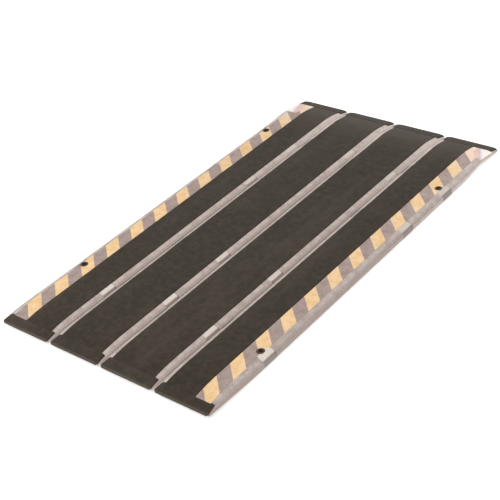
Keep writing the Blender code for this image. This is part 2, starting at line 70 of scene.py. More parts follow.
halfWidth = (ramp["pitch"] - ramp["gap"]) / 2
lastPanel = ramp["panels"]
everyPanel = range(1, lastPanel + 1)
outerPanels = (1, lastPanel)


def panelCenter(panel):
    return (panel - (lastPanel + 1) / 2) * ramp["pitch"]


def gapCenter(joint):
    return (joint - lastPanel / 2) * ramp["pitch"]


def alongY(distance):
    return distance - ramp["length"] / 2


# The outline of a panel: what a section looks like at a distance from the ground end

profile = {
    "chamferWidth": 0.017,
    "chamferDrop": 0.0075,
    "edgeRound": 0.004,
    "creaseRound": 0.005,
    "bottomRound": 0.007,
    "partingDrop": 0.004,
    "tipCorner": 0.006,
    "noseLength": 0.13,
    "noseDrop": 0.0122,
    "nosePower": 2.4,
    "toeLength": 0.2,
    "toeLift": 0.0115,
    "toePower": 1.55,
    "tongueLength": 0.11,
    "tongueDrop": 0.02,
    "tonguePower": 1.5,
    "archStart": 0.198,
    "archPeak": 0.122,
    "archHeight": 0.012,
    "landingLength": 0.025,
    "landingLift": 0.002,
    "archBlend": 0.016,
    "skin": 0.0033,
    "edgeWall": 0.0105,
    "tipStart": 0.002,
}
flatHalf = halfWidth - profile["chamferWidth"]


# A bend from flat to a slope of 1 at zero, rounded over the blend
def softBend(distance, blend):
    if distance <= -blend / 2:
        return 0.0
    if distance >= blend / 2:
        return distance
    return (distance + blend / 2) ** 2 / (2 * blend)


def topHeight(distance):
    p = profile
    reach = max(0.0, p["noseLength"] - distance) / p["noseLength"]
    past = max(0.0, distance - (ramp["length"] - p["tongueLength"])) / p["tongueLength"]
    fall = p["noseDrop"] * reach ** p["nosePower"] + p["tongueDrop"] * past ** p["tonguePower"]
    return ramp["thickness"] - fall


def underHeight(distance):
    p = profile
    back = distance - ramp["length"]
    toe = p["toeLift"] * (max(0.0, p["toeLength"] - distance) / p["toeLength"]) ** p["toePower"]
    rise = p["archHeight"] / (p["archStart"] - p["archPeak"])
    fall = (p["archHeight"] - p["landingLift"]) / (p["archPeak"] - p["landingLength"])
    arch = rise * softBend(back + p["archStart"], p["archBlend"])
    arch -= (rise + fall) * softBend(back + p["archPeak"], p["archBlend"])
    arch += fall * softBend(back + p["landingLength"], p["archBlend"])
    return toe + arch


# How far a rounded corner draws a side in, at a distance from the side's end
def drawnIn(radius, fromEnd):
    short = max(0.0, radius - fromEnd)
    return radius - math.sqrt(max(0.0, radius ** 2 - short ** 2))


# The measures of a panel's cross section at a distance along the ramp
class Section:
    def __init__(self, distance):
        p = profile
        self.distance = distance
        self.top = topHeight(distance)
        self.under = underHeight(distance)
        fromTip = min(distance - p["tipStart"], ramp["length"] - p["tipStart"] - distance)
        self.width = halfWidth - drawnIn(p["tipCorner"], fromTip)
        self.share = share = min(1.0, (self.top - self.under) / ramp["thickness"])
        self.skin = p["skin"] * share
        self.sideTop = self.top - p["chamferDrop"] * share
        self.parting = self.sideTop - p["partingDrop"] * share
        self.flat = self.width - p["chamferWidth"]
        self.wall = self.width - p["edgeWall"]
        self.plug = self.wall - ramp["fitGap"]

    def chamfer(self, x):
        out = max(0.0, abs(x) - self.flat)
        return self.top - (self.top - self.sideTop) * out / profile["chamferWidth"]


# Paths and meshes

meshing = {
    "sharpestMitre": 0.2,  # least cosine at a corner of an offset path
    "tipRows": 0.0008,
    "bendRows": 0.004,
    "flatRows": 0.03,
    "tipReach": 0.0085,
    "groundBend": 0.212,
    "stepBend": 0.21,
    "shortestRow": 0.0006,
    "shellAngle": 32,  # degrees from which an edge is sharp
    "webbingAngle": 50,
    "sheetAngle": 60,
    "normalWeight": 80,
}


def roundedCorner(before, corner, after, radius, steps):
    one = (before - corner).normalized()
    two = (after - corner).normalized()
    half = one.angle(two) / 2
    middle = corner + (one + two).normalized() * (radius / math.sin(half))
    start = corner + one * (radius / math.tan(half)) - middle
    finish = corner + two * (radius / math.tan(half)) - middle
    sweep = start.angle(finish)
    points = []
    for step in range(steps + 1):
        turn = step / steps
        low = math.sin((1 - turn) * sweep) / math.sin(sweep)
        high = math.sin(turn * sweep) / math.sin(sweep)
        points.append(middle + start * low + finish * high)
    return points


# Straight runs through (x, z) points, with a rounded corner at each (x, z, radius, steps)
def roundedPath(entries):
    corners = [Vector(entry[:2]) for entry in entries]
    path = []
    for at, entry in enumerate(entries):
        path += roundedCorner(*corners[at - 1:at + 2], *entry[2:]) if entry[2:] else [corners[at]]
    return path


# A symmetric run from its first half
def bothSides(half):
    return half + [(-x, *rest) for x, *rest in reversed(half)]


def pairs(path):
    return [tuple(point) for point in path]


def pathNormals(path):
    found = []
    for at, point in enumerate(path):
        back = (point - path[at - 1]).normalized() if at > 0 else None
        ahead = (path[at + 1] - point).normalized() if at < len(path) - 1 else None
        back = back or ahead
        ahead = ahead or back
        middle = (back + ahead).normalized()
        normal = Vector((-middle.y, middle.x))
        found.append(normal / max(meshing["sharpestMitre"], normal.dot(Vector((-back.y, back.x)))))
    return found


def offsetPath(path, distance):
    return [point + normal * distance for point, normal in zip(path, pathNormals(path))]


# Places along a panel, close together where its outline bends
def placesAlong(start, end):
    m = meshing
    found = [start]
    while True:
        spot = found[-1]
        fromTip = min(spot, ramp["length"] - spot)
        bends = spot < m["groundBend"] or spot > ramp["length"] - m["stepBend"]
        spot += m["tipRows"] if fromTip < m["tipReach"] else m["bendRows"] if bends else m["flatRows"]
        if spot > end - m["shortestRow"]:
            return found + [end]
        found.append(spot)


def smooth(piece, sharpAngle):
    piece.data.shade_smooth()
    piece.data.set_sharp_from_angle(angle=math.radians(sharpAngle))


def newObject(name, data):
    made = bpy.data.objects.new(name, data)
    bpy.context.collection.objects.link(made)
    return made


def newPiece(name, data, finish, sharpAngle=meshing["shellAngle"]):
    bmesh.ops.recalc_face_normals(data, faces=data.faces)
    mesh = bpy.data.meshes.new(name)
    data.to_mesh(mesh)
    data.free()
    piece = newObject(name, mesh)
    if finish:
        mesh.materials.append(finish)
    smooth(piece, sharpAngle)
    return piece


def bridge(data, first, second):
    faces = []
    for at in range(len(first)):
        after = (at + 1) % len(first)
        faces.append(data.faces.new((first[at], first[after], second[after], second[at])))
    return faces


def closeEnds(data, first, last):
    caps = [data.faces.new(first), data.faces.new(last)]
    for cap in caps:
        cap.normal_update()
    bmesh.ops.triangulate(data, faces=caps)


# A closed solid through rings of (x, z) points, each ring at a distance along the ramp.
# What follows the center is its finish, and the angle of its sharp edges where that isn't the shell's.
def loft(name, rings, center, *finishing):
    data = bmesh.new()
    loops = [[data.verts.new((center + x, alongY(d), z)) for x, z in ring] for d, ring in rings]
    for first, second in zip(loops, loops[1:]):
        bridge(data, first, second)
    closeEnds(data, loops[0], loops[-1])
    return newPiece(name, data, *finishing)


def lofted(panel, part, ringOf, distances, *finishing):
    rings = [(d, ringOf(Section(d))) for d in distances]
    return loft(f"panel_{panel}_{part}", rings, panelCenter(panel), *finishing)


def prisms(name, entries):
    data = bmesh.new()
    for outline, start, end in entries:
        near, far = ([data.verts.new((x, alongY(d), z)) for x, z in outline] for d in (start, end))
        bridge(data, near, far)
        closeEnds(data, near, far)
    return newPiece(name, data, None)


# A ring of (radius, z) points turned round an upright axis
def turned(name, outline, center, sides, finish):
    data = bmesh.new()
    loops = []
    for turn in range(sides):
        angle = 2 * math.pi * turn / sides
        x, y = math.cos(angle), math.sin(angle)
        loops.append([data.verts.new((center[0] + r * x, center[1] + r * y, z)) for r, z in outline])
    for first, second in zip(loops, loops[1:] + loops[:1]):
        bridge(data, first, second)
    return newPiece(name, data, finish)


# Cuts every cutter out of every piece, then removes the cutters
def cutAway(pieces, cutters, sharpAngle=meshing["shellAngle"]):
    for piece in pieces:
        for cutter in cutters:
            cut = piece.modifiers.new(cutter.name, "BOOLEAN")
            cut.operation = "DIFFERENCE"
            cut.solver = "EXACT"
            cut.object = cutter
        graph = bpy.context.evaluated_depsgraph_get()
        settled = bpy.data.meshes.new_from_object(piece.evaluated_get(graph))
        piece.modifiers.clear()
        piece.data = settled
        smooth(piece, sharpAngle)
        weigh = piece.modifiers.new("weightedNormals", "WEIGHTED_NORMAL")
        weigh.keep_sharp = True
        weigh.weight = meshing["normalWeight"]
    for cutter in cutters:
        bpy.data.objects.remove(cutter, do_unlink=True)


# Hides the CAD node that a piece stands for and puts the piece on the panel that it rides on
def place(piece, panel, slotName, part):
    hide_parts(f"panel_{panel}_{part}")
    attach(piece, f"panel_{panel}")


# Shader maths: a wrapped socket adds Math nodes where it is used in a sum

def operator(operation):
    def forward(self, other):
        return self.maths(operation, self, other)

    def reflected(self, other):
        return self.maths(operation, other, self)

    return forward, reflected


class Wire:
    def __init__(self, finish, socket):
        self.finish = finish
        self.socket = socket

    def maths(self, operation, *values):
        return self.finish.node("Math", {"operation": operation}, dict(enumerate(values)))

    __add__, __radd__ = operator("ADD")
    __sub__, __rsub__ = operator("SUBTRACT")
    __mul__, __rmul__ = operator("MULTIPLY")
    __truediv__, __rtruediv__ = operator("DIVIDE")
    __pow__, __rpow__ = operator("POWER")

    def __abs__(self):
        return self.maths("ABSOLUTE", self)

    def floored(self):
        return self.maths("FLOOR", self)

    def wrapped(self, low, high):
        return self.maths("WRAP", self, high, low)

    def swing(self):
        return self.maths("SINE", self)

    # 0 below low and 1 above high, with a soft step between them
    def step(self, low, high):
        settings = {"interpolation_type": "SMOOTHSTEP"}
        return self.finish.node("MapRange", settings, {"Value": self, "From Min": low, "From Max": high})

    # 0 below zero and 1 above it, with a narrow blur
    def isOver(self, blur=0.0003):
        return self.step(-blur, blur)


# A material whose surface is worked out from places on the object
class Finish:
    def __init__(self, name, view):
        self.material = bpy.data.materials.new(name)
        self.material.use_nodes = True
        self.material.diffuse_color = (*view, 1)
        self.tree = self.material.node_tree
        self.shader = self.tree.nodes["Principled BSDF"]
        self.place = self.node("TexCoord", {}, {}, "Object")
        self.x, self.y, self.z = self.axes(self.place, "XYZ")

    # Any node: its settings first, then the values or links of its sockets
    def node(self, kind, settings, sockets, output=0):
        made = self.tree.nodes.new("ShaderNode" + kind)
        for key, value in settings.items():
            setattr(made, key, value)
        for key, value in sockets.items():
            self.feed(made.inputs[key], value)
        return Wire(self, made.outputs[output])

    def feed(self, socket, value):
        if isinstance(value, Wire):
            self.tree.links.new(value.socket, socket)
        elif socket.type == "RGBA" and len(value) == 3:
            socket.default_value = (*value, 1)
        else:
            socket.default_value = value

    def axes(self, vector, names):
        return [self.node("SeparateXYZ", {}, {0: vector}, name) for name in names]

    # Sets the shader's own sockets: numbers and colours stay on the socket, wires are linked
    def set(self, **sockets):
        for name, value in sockets.items():
            self.feed(self.shader.inputs[spelled[name]], value)
        return self.material

    def mix(self, share, first, second):
        return self.node("Mix", {"data_type": "RGBA"}, {0: share, 6: first, 7: second}, 2)

    # A noise from its scale, detail and roughness, and the factors that it stretches x, y and z by
    def noise(self, scale, detail, roughness, stretch=None):
        place = self.place
        if stretch:
            place = self.node("VectorMath", {"operation": "MULTIPLY"}, {0: place, 1: stretch})
        sockets = {"Vector": place, "Scale": scale, "Detail": detail, "Roughness": roughness}
        return self.node("TexNoise", {}, sockets)

    def cells(self, scale, feature="F1"):
        sockets = {"Vector": self.place, "Scale": scale}
        return self.node("TexVoronoi", {"feature": feature}, sockets, "Distance")

    def bump(self, height, strength, distance):
        return self.node("Bump", {}, {"Height": height, "Strength": strength, "Distance": distance})


spelled = {
    "color": "Base Color", "roughness": "Roughness", "normal": "Normal", "specular": "Specular IOR Level",
    "coat": "Coat Weight", "sheen": "Sheen Weight", "sheenRoughness": "Sheen Roughness",
    "glow": "Emission Color", "glowStrength": "Emission Strength",
}


# A screen colour, 0 to 255, in the shader's linear values
def rgb(red, green, blue):
    def linear(value):
        value /= 255
        return value / 12.92 if value <= 0.04045 else ((value + 0.055) / 1.055) ** 2.4
    return tuple(linear(value) for value in (red, green, blue))


# Panel shells: glass-fibre composite, light grey with a fine crosswise cloth

shellLook = {
    "light": rgb(185, 172, 165),
    "shade": rgb(164, 150, 143),
    "grime": rgb(118, 104, 96),
    "scuff": rgb(212, 202, 196),
    # painted shade on the rounded shoulders and the side walls below them
    "shoulder": rgb(153, 139, 131),
    # painted light, lighter towards the far end
    "paintedFarLight": rgb(222, 211, 205),
    # painted light on the side walls in the gaps between panels
    "gapWallLight": rgb(228, 216, 208),
    "black": rgb(60, 52, 43),
    "blackLength": 0.036,
    "blackInset": 0.0078,
    "blackWidening": 0.005,
    "blackSpread": 0.0038,  # further reach on the right sides at the ground end
    "spreadEnds": (0.28, 0.3),  # x past which there is no such reach
    "under": rgb(165, 154, 148),
    "clothPitch": 0.0022,
    "crossPitch": 0.00308,
    "mottle": (38, 4, 0.6),
    "streaks": (26, 5, 0.65, (1.0, 0.12, 1.0)),
    "patches": (95, 3, 0.6, (0.35, 1.0, 1.0)),
    "chips": (240, 3, 0.7),
    "pits": 520,
    "farEnd": 0.62,  # y from which the far-end blend is whole: most painted light, least painted shoulder shade
    "shoulderShadeAt": (0.011, 0.003),  # where the painted shoulder shade starts and where it is whole, in from the panel's side
    "wallAt": (0.0016, 0.0004),
    "wallRubbedAt": (0.0015, 0.0),
    "rampSide": (0.372, 0.376),  # x of the ramp's own sides, whose walls get no painted gap light
}


def makeShellFinish(name, base, grimeShare, farFrom, farShare, blackTips):
    f = Finish(name, base)
    look = shellLook

    def inFromSide(key):
        return [halfWidth - inset for inset in look[key]]

    cloth = (f.y * (2 * math.pi / look["clothPitch"])).swing()
    across = (f.x * (2 * math.pi / look["crossPitch"])).swing()
    mottle = f.noise(*look["mottle"])
    streaks = f.noise(*look["streaks"])
    patches = f.noise(*look["patches"])
    color = f.mix(mottle.step(0.38, 0.66), base, look["shade"])
    color = f.mix((cloth * 0.5 + 0.5) * 0.14, color, look["grime"])
    color = f.mix(patches.step(0.52, 0.7) * 0.22, color, look["scuff"])
    color = f.mix(streaks.step(0.52, 0.74) * grimeShare, color, look["grime"])
    # Painted light: the shell turns lighter towards the far end, most on the underside shell
    farEnd = f.y.step(farFrom, look["farEnd"])
    color = f.mix(farEnd * farShare, color, look["paintedFarLight"])
    sideways = (f.x + ramp["pitch"] * 2).wrapped(0, ramp["pitch"]) - ramp["pitch"] / 2
    localX = abs(sideways)
    # Painted shade: darker from the shoulder outwards, where the gaps and the sides lie in shade; weaker
    # towards the far end
    shoulder = localX.step(*inFromSide("shoulderShadeAt"))
    color = f.mix(shoulder * (0.62 + mottle * 0.4) * (1 - farEnd * 0.75), color, look["shoulder"])
    # Painted light: the side walls in the gaps between panels are lighter, more so towards the far end
    wall = localX.step(*inFromSide("wallAt")) * (1 - abs(f.x).step(*look["rampSide"]))
    color = f.mix(wall * (0.42 + farEnd * 0.5), color, look["gapWallLight"])
    rubbed = shoulder * (1 - localX.step(*inFromSide("wallRubbedAt")))
    chips = f.noise(*look["chips"]).step(0.56, 0.66)
    color = f.mix(rubbed * chips * 0.5, color, look["scuff"])
    intoTip = abs(f.y) - (ramp["length"] / 2 - look["blackLength"])
    blackEdge = intoTip * (look["blackWidening"] / look["blackLength"]) + (halfWidth - look["blackInset"])
    groundRight = sideways.isOver(0.001) * (1 - f.y.isOver(0.01)) * (1 - f.x.step(*look["spreadEnds"]))
    blackEdge = blackEdge + groundRight * (1 - intoTip / look["blackLength"]) * look["blackSpread"]
    black = intoTip.isOver() * (blackEdge - localX).isOver()
    color = f.mix(black * blackTips, color, look["black"])
    pits = f.cells(look["pits"], "SMOOTH_F1").step(0.05, 0.35)
    height = cloth * 0.35 + across * 0.15 + pits * 0.5 + mottle * 0.6
    rough = 0.5 + mottle * 0.22 + streaks * 0.1
    return f.set(color=color, roughness=rough, normal=f.bump(height, 0.35, 0.0006), specular=0.35)


shellFinish = makeShellFinish("moulded_grey_shell", shellLook["light"],
                              grimeShare=0.4, farFrom=0.1, farShare=0.14, blackTips=1)
underFinish = makeShellFinish("moulded_grey_underside", shellLook["under"],
                              grimeShare=0.5, farFrom=-0.2, farShare=0.68, blackTips=0)


def shellRing(cut):
    outer = roundedPath(bothSides([
        (-cut.width, cut.parting),
        (-cut.width, cut.sideTop, profile["edgeRound"] * cut.share, 6),
        (-cut.flat, cut.top, profile["creaseRound"], 3),
    ]))
    edge = cut.chamfer(cut.plug)
    inner = [(cut.plug, cut.parting), (cut.plug, edge - cut.skin), (cut.flat, cut.top - cut.skin)]
    return pairs(outer) + bothSides(inner)


def trayRing(cut):
    rim = cut.parting - ramp["fitGap"]
    radius = profile["bottomRound"] * cut.share
    outer = roundedPath(bothSides([(-cut.width, rim), (-cut.width, cut.under, radius, 7)]))
    return pairs(outer) + bothSides([(cut.wall, rim), (cut.wall, cut.under + cut.skin)])


# Strap routes, from which the pockets in the shells are cut

strap = {
    "width": 0.05,
    "thickness": 0.0015,
    "sideClearance": 0.0005,
    "endSpacing": 0.01,
    "floorClearance": 0.0003,
    "bendRadius": 0.003,
    "notchDepth": 0.007,
    "pocketMargin": 0.001,
    "pocketReach": 0.4,  # how far a pocket is cut past the panel's side, as a share of the gap
    "edgeSlack": 0.004,
    "kneeDrop": 0.0075,
}
strapTail = (2 * halfWidth - strap["endSpacing"]) / 2
strapOver = ramp["thickness"] - strap["thickness"] / 2
strapUnder = strap["floorClearance"] + strap["thickness"] / 2
chamferSlope = profile["chamferDrop"] / profile["chamferWidth"]
pocketInner = strapTail + strap["pocketMargin"]
pocketOuter = ramp["gap"] * strap["pocketReach"]
pocketTop = ramp["thickness"] + strap["pocketMargin"]
pocketBottom = -strap["pocketMargin"]


# From the middle of a gap: over the left panel, down through the gap and under the right panel
def crossingPath(fine=1):
    side = ramp["gap"] / 2
    shoulder = -side - profile["chamferWidth"]
    bendX = -side - strap["notchDepth"] + strap["thickness"]
    bendZ = strapOver - chamferSlope * (bendX - shoulder)
    turn = profile["bottomRound"] - strapUnder
    across, down = side + profile["bottomRound"] - bendX, bendZ - profile["bottomRound"]
    angle = math.atan2(down, across) + math.asin(turn / math.hypot(across, down))
    footX = bendX + (bendZ - strapUnder) / math.tan(angle)
    return roundedPath([
        (-side - strapTail, strapOver),
        (shoulder, strapOver, strap["bendRadius"], fine),
        (bendX, bendZ, strap["bendRadius"], 4 * fine),
        (footX, strapUnder, turn, 5 * fine),
        (side + strapTail, strapUnder),
    ])


# From the outer edge of a panel: over its top, round the edge and back along its underside.
# A slack strap stands away from the notch below its upper bend.
def wrapPath(fine=1, slack=0.0):
    dropX = -strap["notchDepth"] + ramp["fitGap"] + strap["thickness"] / 2
    bendZ = strapOver - chamferSlope * (dropX + profile["chamferWidth"])
    knee = [(dropX + slack, bendZ - strap["kneeDrop"], strap["thickness"], fine)] if slack else []
    return roundedPath([
        (-strapTail, strapOver),
        (-profile["chamferWidth"], strapOver, strap["bendRadius"], fine),
        (dropX, bendZ, strap["thickness"], 4 * fine),
        *knee,
        (dropX + slack, strapUnder, strap["bendRadius"], 4 * fine),
        (-strapTail, strapUnder),
    ])


def overPocket():
    floor = ramp["thickness"] - strap["thickness"] - ramp["fitGap"]
    notch = -strap["notchDepth"]
    notchTop = floor - chamferSlope * (profile["chamferWidth"] + notch)
    return [
        (-pocketInner, pocketTop), (-pocketInner, floor), (-profile["chamferWidth"], floor),
        (notch, notchTop), (notch, pocketBottom), (pocketOuter, pocketBottom), (pocketOuter, pocketTop),
    ]


def wrapPocket():
    wall = offsetPath(wrapPath(), -strap["thickness"] / 2 - ramp["fitGap"])
    return [
        (-pocketInner, pocketTop), (-pocketInner, wall[0].y), *pairs(wall[1:-1]),
        (-pocketInner, wall[-1].y), (-pocketInner, pocketBottom),
        (pocketOuter, pocketBottom), (pocketOuter, pocketTop),
    ]


def underPocket():
    side = ramp["gap"] / 2
    wall = offsetPath(crossingPath(), strap["thickness"] / 2 + ramp["fitGap"])
    start = next(at for at, point in enumerate(wall) if point.y < profile["bottomRound"])
    above, below = wall[start - 1], wall[start]
    outer = side - pocketOuter
    rim = below + (above - below) * ((below.x - outer) / (below.x - above.x))
    inner = side + pocketInner
    roof = strap["floorClearance"] + strap["thickness"] + ramp["fitGap"]
    run = pairs([rim] + wall[start:-1]) + [(inner, roof), (inner, pocketBottom), (outer, pocketBottom)]
    return [(side - x, z) for x, z in run]


# The straps in the gaps beside a panel, as (side, station): in layer 0 over the panel, in layer 1 under it
def strapsAcross(panel, layer):
    right = ramp["straps"].get(panel, ((), ()))[layer]
    left = ramp["straps"].get(panel - 1, ((), ()))[1 - layer]
    return [(1, station) for station in right] + [(-1, station) for station in left]


def outerSide(panel):
    return 1 if panel == lastPanel else -1


def strapsRound(panel):
    return [(outerSide(panel), station) for station in ramp["edgeStraps"].get(panel, ())]


def pocketCutter(panel):
    cuts = (
        (overPocket(), strapsAcross(panel, 0)),
        (underPocket(), strapsAcross(panel, 1)),
        (wrapPocket(), strapsRound(panel)),
    )
    reach = strap["width"] / 2 + strap["sideClearance"]
    entries = []
    for outline, users in cuts:
        for side, station in users:
            edge = panelCenter(panel) + side * halfWidth
            placed = [(edge + side * x, z) for x, z in outline]
            entries.append((placed, stations[station] - reach, stations[station] + reach))
    return prisms(f"pocketCutter{panel}", entries)


bushing = {
    "inset": 0.03,
    "bore": 0.013,
    "body": 0.0165,
    "flange": 0.0205,
    "flangeHeight": 0.001,
    "sides": 48,
    "rimSteps": 4,
    "cutLength": 0.06,
}


def holeCenters(panel):
    x = panelCenter(panel) + outerSide(panel) * (halfWidth - bushing["inset"])
    return [(x, alongY(stations[station])) for station in ramp["holes"].get(panel, ())]


def holeCutter(panel):
    data = bmesh.new()
    radius = bushing["body"] / 2 + ramp["fitGap"]
    for x, y in holeCenters(panel):
        made = bmesh.ops.create_cone(
            data, cap_ends=True, segments=bushing["sides"], radius1=radius, radius2=radius,
            depth=bushing["cutLength"],
        )
        bmesh.ops.translate(data, verts=made["verts"], vec=(x, y, ramp["thickness"] / 2))
    return newPiece(f"holeCutter{panel}", data, None)


def makeShells(panel):
    distances = placesAlong(profile["tipStart"], ramp["length"] - profile["tipStart"])
    deck = lofted(panel, "deck_shell", shellRing, distances, shellFinish)
    tray = lofted(panel, "tray_shell", trayRing, distances, underFinish)
    cutters = [pocketCutter(panel)]
    if panel in ramp["holes"]:
        cutters.append(holeCutter(panel))
    cutAway((deck, tray), cutters)
    place(deck, panel, "grey_composite", "deck")
    place(tray, panel, "grey_underside", "tray")


for panel in everyPanel:
    makeShells(panel)
print("shells made")


# Foam cores, sealed between the shells

coreLook = {
    "foam": rgb(226, 214, 176),
    "cell": rgb(196, 180, 136),
    "cellScale": 900,
    "tipInset": 0.014,
    "leastHeight": 0.003,
}


def makeFoamFinish():
    f = Finish("closed_cell_foam", coreLook["foam"])
    cells = f.cells(coreLook["cellScale"])
    color = f.mix(cells.step(0.1, 0.6), coreLook["cell"], coreLook["foam"])
    return f.set(color=color, roughness=0.92, normal=f.bump(cells, 0.6, 0.0005))


foamFinish = makeFoamFinish()


def coreRing(cut):
    fit = ramp["fitGap"]
    low = cut.under + cut.skin + fit
    side = cut.plug - fit
    edge = cut.chamfer(side) - cut.skin - fit
    flat = cut.top - cut.skin - fit
    return [(-side, low), (side, low), (side, edge), (cut.flat, flat), (-cut.flat, flat), (-side, edge)]


def coreHeight(distance):
    ring = coreRing(Section(distance))
    return ring[2][1] - ring[1][1]


def makeCore(panel):
    inset = coreLook["tipInset"]
    found = placesAlong(inset, ramp["length"] - inset)
    distances = [d for d in found if coreHeight(d) > coreLook["leastHeight"]]
    core = lofted(panel, "foam_core", coreRing, distances, foamFinish)
    if panel in ramp["holes"]:
        cutAway([core], [holeCutter(panel)])
    place(core, panel, "foam", "core")


for panel in everyPanel:
    makeCore(panel)
print("cores made")


# Black anti-slip sheets, which rise over the straps beneath them

tread = {
    "low": 0.0008,  # thickness between the straps
    "ridge": {"a0": 0.00025, "a1": 0.00025, "b": 0.0007, "c": 0.0007, "d0": 0.0007, "d1": 0.0006},
    "ridgeHalf": 0.031,
    "ridgeSoft": 0.006,
    "ridgeTail": 0.012,  # how far past the middle of the panel a ridge fades out
    "tailSoft": 0.014,
    "columns": 30,
    "rowSpacing": 0.004,
    "edgeRound": 0.0005,
    "edgeShare": 0.6,  # most of a sheet's thickness that its rounded edge takes
    "endGap": 0.0004,
    "stripLength": 0.036,
    "shortStrip": 0.032,  # near end of the two outer panels
    "grit": rgb(60, 52, 42),
    "gritDark": rgb(44, 36, 28),
    "gritGlint": rgb(102, 91, 77),
    "gritScale": 700,
    "worn": rgb(82, 73, 63),
    # painted sheen, lighter towards the far end
    "far": rgb(82, 73, 63),
}
tape = {
    "width": 0.0488,
    "thickness": 0.0004,
    "margin": 0.003,
    "treadGap": 0.0005,
    "ridgeShare": 0.35,
    "columns": 14,
    "yellow": rgb(222, 189, 145),
    "yellowDeep": rgb(211, 172, 119),
    "peach": rgb(221, 195, 174),
    "grey": rgb(154, 135, 127),
    "greyDeep": rgb(136, 118, 112),
    "period": 0.1056,
    "firstYellow": {1: 0.0763, 4: 0.081},
    "slant": {1: 0.87, 4: 0.94},
    "dull": {1: 0.13, 4: 0.0},
    "slantFrom": 0.0094,
    "ragged": (160, 3, 0.6),
    "raggedBy": 0.0016,
    "yellowHalf": (0.24, 0.254),  # of the period
    "mottle": (55, 5, 0.65),
    "fineDirt": (420, 3, 0.7),
    "grainScale": 900,
    "peachY": (0.5, 0.6),
    "dullY": (-0.2, 0.3),
    "endY": (0.652, 0.657),
    "holeDirt": rgb(52, 36, 27),
    "dirtReach": (0.0112, 0.0128),
    "dirtRagged": 0.002,
    "bared": rgb(212, 202, 184),  # where the tape's edge is rubbed off over a strap
    "baredAt": {4: ("a0",)},
    "baredWidth": 0.0045,
    "baredReach": (0.021, 0.023),
}


def softStep(value):
    value = min(1.0, max(0.0, value))
    return value * value * (3 - 2 * value)


def ridgeHeight(panel, x, distance):
    best = 0.0
    for side, station in strapsAcross(panel, 0) + strapsRound(panel):
        inward = softStep((x * side + tread["ridgeTail"]) / tread["tailSoft"])
        away = abs(distance - stations[station])
        lift = softStep((tread["ridgeHalf"] - away) / tread["ridgeSoft"])
        best = max(best, tread["ridge"][station] * lift * inward)
    return best


gritMarks = {
    "fine": (1500, 2, 0.6),
    "clumps": (60, 4, 0.6),
    "patches": (7, 3, 0.55),
    "tracks": (14, 4, 0.6, (1.0, 0.1, 1.0)),
    "farY": (0.5, 0.62),
    "tipY": (0.7035, 0.7075),
}


def makeGritFinish(name, look):
    f = Finish(name, look["grit"])
    marks = gritMarks
    grit = f.cells(look["gritScale"])
    names = ("fine", "clumps", "patches", "tracks")
    fine, clumps, patches, tracks = (f.noise(*marks[name]) for name in names)
    color = f.mix(clumps.step(0.35, 0.7), look["gritDark"], look["grit"])
    color = f.mix(grit.step(0.34, 0.62) * 0.5, color, look["gritDark"])
    color = f.mix(fine.step(0.6, 0.72) * 0.45, color, look["gritGlint"])
    color = f.mix(tracks.step(0.48, 0.74) * 0.17 + patches.step(0.45, 0.72) * 0.1, color, look["worn"])
    # Towards the far end: a painted sheen on the grit sheet; on the end strips this colour is darker
    color = f.mix(f.y.step(*marks["farY"]) * 0.35, color, look["far"])
    color = f.mix(abs(f.y).step(*marks["tipY"]) * 0.45, color, look["worn"])
    dull = {"specular": 0.15, "sheen": 0.1, "sheenRoughness": 0.45}
    normal = f.bump((1 - grit) + fine * 0.6, 0.55, 0.0008)
    return f.set(color=color, roughness=0.8 + clumps * 0.12, normal=normal, **dull)


treadFinish = makeGritFinish("anti_slip_grit", tread)


def tapeLimits(panel):
    outer = flatHalf - tape["margin"]
    inner = outer - tape["width"]
    return (inner, outer) if panel == lastPanel else (-outer, -inner)


def treadLimits(panel):
    low, high = -flatHalf, flatHalf
    if panel == lastPanel:
        high = tapeLimits(panel)[0] - tape["treadGap"]
    if panel == 1:
        low = tapeLimits(panel)[1] + tape["treadGap"]
    return low, high


# A thin sheet on the flat of a panel: its top takes the ridges, and its long edges are rounded
def sheetRing(panel, limits, columns, thickness, ridgeShare):
    left, right = limits
    soft = min(tread["edgeRound"], thickness * tread["edgeShare"])

    def ringOf(cut):
        low = cut.top + ramp["fitGap"]
        upper = []
        for column in range(columns + 1):
            x = right - soft - (right - left - 2 * soft) * column / columns
            upper.append((x, low + thickness + ridgeShare * ridgeHeight(panel, x, cut.distance)))
        edge = low + thickness - soft
        return [(left, low), (right, low), (right, edge)] + upper + [(left, edge)]

    return ringOf


def sheetPlaces(start, end):
    count = round((end - start) / tread["rowSpacing"])
    return [start + (end - start) * at / count for at in range(count + 1)]


def stripLength(panel, groundEnd):
    return tread["shortStrip"] if groundEnd and panel in ramp["holes"] else tread["stripLength"]


def betweenStrips(panel):
    gap = tread["endGap"]
    return sheetPlaces(stripLength(panel, True) + gap, ramp["length"] - tread["stripLength"] - gap)


def makeTread(panel):
    ringOf = sheetRing(panel, treadLimits(panel), tread["columns"], tread["low"], 1.0)
    sheet = lofted(panel, "grit_sheet", ringOf, betweenStrips(panel), treadFinish, meshing["sheetAngle"])
    place(sheet, panel, "black_tread", "tread")


for panel in everyPanel:
    makeTread(panel)
print("grit sheets made")


# Hazard tape along the outer edges

